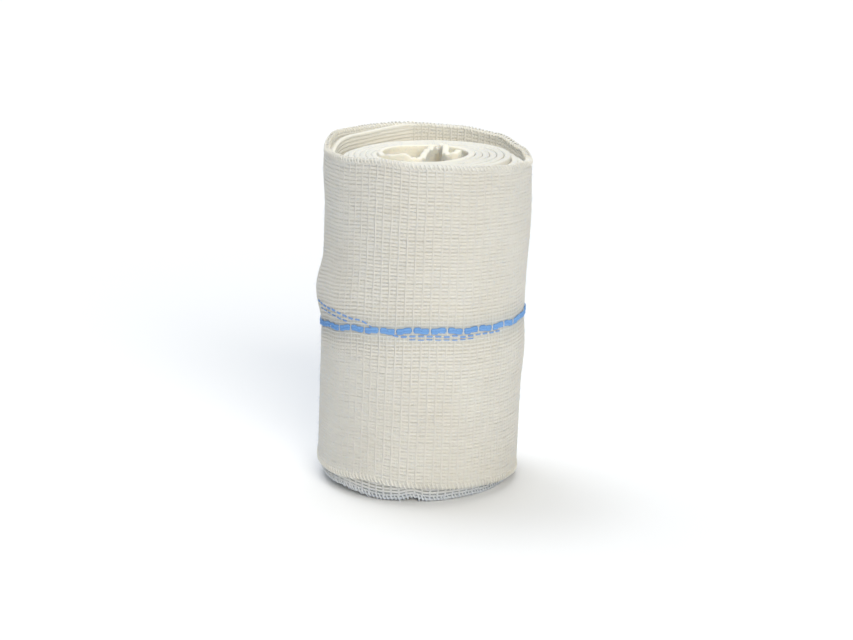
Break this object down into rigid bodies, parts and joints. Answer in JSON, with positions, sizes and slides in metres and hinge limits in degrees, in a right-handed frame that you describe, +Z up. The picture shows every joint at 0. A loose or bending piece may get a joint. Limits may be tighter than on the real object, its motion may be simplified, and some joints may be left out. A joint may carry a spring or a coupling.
{
  "type": "cotton gauze roll",
  "caption": "Soft roll of knitted tubular cotton gauze bandage standing on end, with a blue tracer yarn along the middle of its web.",
  "frame": {"origin": "centre of the roll's box at floor level, where it stands on the edge of its web", "axes": "+Z up along the roll's axis, -Y the side that the picture shows, +X to the right seen from there"},
  "size_m": [0.0502, 0.0494, 0.081],
  "materials": {
    "cotton_gauze": "unbleached-white knitted cotton, matt, with a fine ladder of ribs",
    "blue_tracer": "dyed blue cotton yarn, matt"
  },
  "bodies": {
    "root": {"gauze_web": "cotton_gauze", "tracer_yarn": "blue_tracer"}
  },
  "joints": []
}
